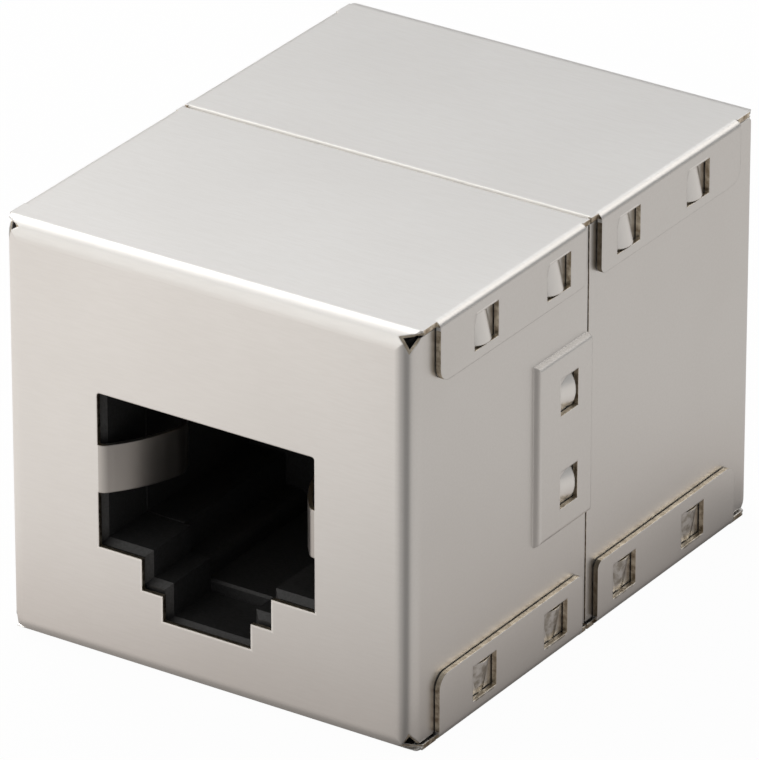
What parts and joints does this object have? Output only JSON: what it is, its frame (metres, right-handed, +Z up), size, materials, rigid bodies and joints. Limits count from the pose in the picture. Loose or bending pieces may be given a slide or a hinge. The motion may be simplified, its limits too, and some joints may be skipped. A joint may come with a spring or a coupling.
{
  "type": "shielded in-line modular coupler",
  "caption": "Boxy steel-shielded coupler with a modular jack at each end, wired straight through to join two network cables.",
  "frame": {"origin": "under the middle of the body, on the plane it rests on (the lower plates' outer faces)", "axes": "+Y from the front port's face to the rear port's face, +Z up through the plug's contact side, +X across the ports, to the left as seen from the rear"},
  "size_m": [0.0232, 0.0298, 0.0213],
  "materials": {
    "plated_steel": "satin nickel plate with fine straight grain",
    "housing_plastic": "moulded, satin black",
    "carrier_plastic": "moulded, satin black",
    "contact_metal": "thin gold plate",
    "board": "green solder mask"
  },
  "bodies": {
    "root": {"front_shell": "plated_steel", "front_jack_housing": "housing_plastic", "front_contact_carrier": "carrier_plastic", "front_contact_1": "contact_metal", "front_contact_2": "contact_metal", "front_contact_3": "contact_metal", "front_contact_4": "contact_metal", "front_contact_5": "contact_metal", "front_contact_6": "contact_metal", "front_contact_7": "contact_metal", "front_contact_8": "contact_metal", "rear_shell": "plated_steel", "rear_jack_housing": "housing_plastic", "rear_contact_carrier": "carrier_plastic", "rear_contact_1": "contact_metal", "rear_contact_2": "contact_metal", "rear_contact_3": "contact_metal", "rear_contact_4": "contact_metal", "rear_contact_5": "contact_metal", "rear_contact_6": "contact_metal", "rear_contact_7": "contact_metal", "rear_contact_8": "contact_metal", "circuit_board": "board"}
  },
  "joints": []
}
